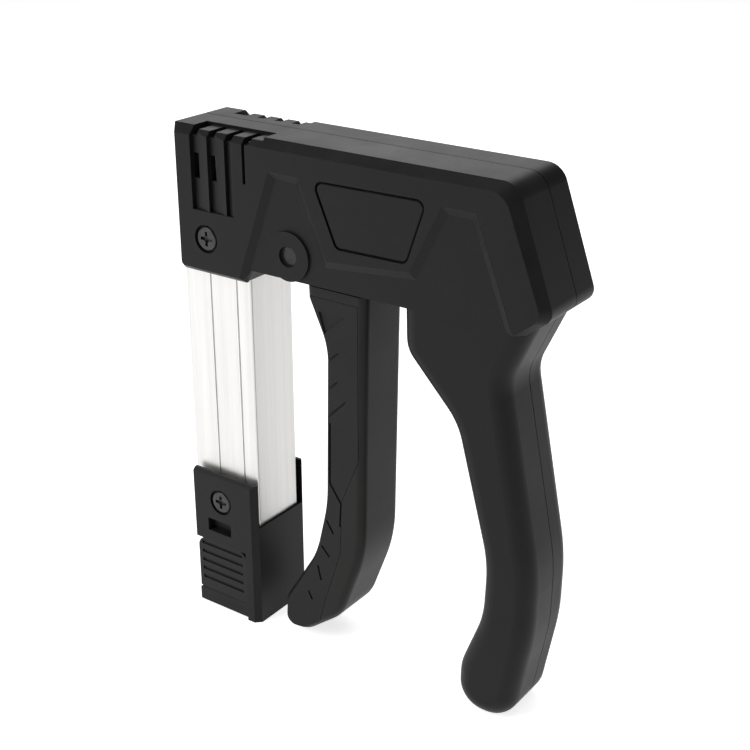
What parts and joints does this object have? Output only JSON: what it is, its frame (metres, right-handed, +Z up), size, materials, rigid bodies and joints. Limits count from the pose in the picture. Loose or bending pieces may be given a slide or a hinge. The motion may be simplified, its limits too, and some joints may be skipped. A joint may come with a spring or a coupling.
{
  "type": "staple gun",
  "caption": "Hand-squeezed staple gun: black pistol-shaped casing, upright aluminium magazine under the nose, hinged trigger and curved rear handle.",
  "frame": {"origin": "middle of the footprint on the surface the tool stands on", "axes": "+Z up, nose towards -X and handle towards +X, width along Y with the mid-plane at y = 0"},
  "size_m": [0.1514, 0.0332, 0.194],
  "materials": {
    "black_casing": "fine moulded texture, satin",
    "badge_plate": "smooth, slightly glossy",
    "black_screw": "black oxide",
    "blackened_steel": "black oxide steel",
    "zinc_sheet": "zinc-plated pressed sheet",
    "bright_steel": "ground steel",
    "black_nylon": "moulded nylon",
    "rubber_pad": "matt rubber",
    "satin_aluminium": "satin extruded, pale",
    "cap_plastic": "moulded, satin",
    "latch_plastic": "moulded, ribbed",
    "trigger_plastic": "smooth satin moulding",
    "grip_rubber": "soft overmoulded grip",
    "spring_steel": "spring wire"
  },
  "bodies": {
    "casing": {"left_shell": "black_casing", "right_shell": "black_casing", "left_badge": "badge_plate", "right_badge": "badge_plate", "magazine_screws": "black_screw", "cap_screws": "black_screw", "shell_screws": "black_screw", "nose_plate": "blackened_steel", "striker_frame": "zinc_sheet", "spring_guide": "bright_steel", "spring_seat": "black_nylon", "bumper": "rubber_pad", "lever_pin": "bright_steel", "trigger_pin": "blackened_steel", "magazine_body": "satin_aluminium", "end_cap": "cap_plastic", "main_spring": "spring_steel", "return_spring": "spring_steel"},
    "trigger": {"trigger": "trigger_plastic", "left_trigger_grip": "grip_rubber", "right_trigger_grip": "grip_rubber"},
    "cocking_lever": {"cocking_lever": "zinc_sheet"},
    "striker": {"hammer": "bright_steel", "drag_pin": "bright_steel", "driver_blade": "bright_steel"},
    "rail": {"inner_rail": "zinc_sheet", "rail_end_block": "cap_plastic", "pusher_spring": "spring_steel"},
    "pusher": {"pusher": "black_nylon"},
    "left_latch": {"left_latch": "latch_plastic"},
    "right_latch": {"right_latch": "latch_plastic"}
  },
  "joints": [
    {"name": "trigger_squeeze", "type": "hinge", "parent": "casing", "child": "trigger", "pos_m": [-0.02393, 0, 0.1549], "axis": [0, -1, 0], "range_deg": [0, 15], "stiffness_Nm_per_rad": 3, "springref_deg": -6.88},
    {"name": "lever_turn", "type": "hinge", "parent": "casing", "child": "cocking_lever", "pos_m": [0.02157, 0, 0.1571], "axis": [0, 1, 0], "range_deg": [0, 27]},
    {"name": "striker_slide", "type": "slide", "parent": "casing", "child": "striker", "axis": [1, 0, 0], "range_m": [0, 0.012], "deforming": ["main_spring"]},
    {"name": "rail_slide", "type": "slide", "parent": "casing", "child": "rail", "axis": [0, 0, -1], "range_m": [0, 0.11]},
    {"name": "pusher_slide", "type": "slide", "parent": "rail", "child": "pusher", "axis": [0, 0, -1], "range_m": [0, 0.085], "stiffness_N_per_m": 40, "springref_m": -0.03, "deforming": ["pusher_spring"]},
    {"name": "left_latch_press", "type": "slide", "parent": "rail", "child": "left_latch", "axis": [0, 1, 0], "range_m": [0, 0.0012], "stiffness_N_per_m": 900, "springref_m": -0.0006},
    {"name": "right_latch_press", "type": "slide", "parent": "rail", "child": "right_latch", "axis": [0, -1, 0], "range_m": [0, 0.0012], "stiffness_N_per_m": 900, "springref_m": -0.0006}
  ],
  "couplings": [
    {"joint": "lever_turn", "follows": "trigger_squeeze", "ratio": 1.8},
    {"joint": "striker_slide", "follows": "trigger_squeeze", "m_per_rad": 0.045832}
  ]
}
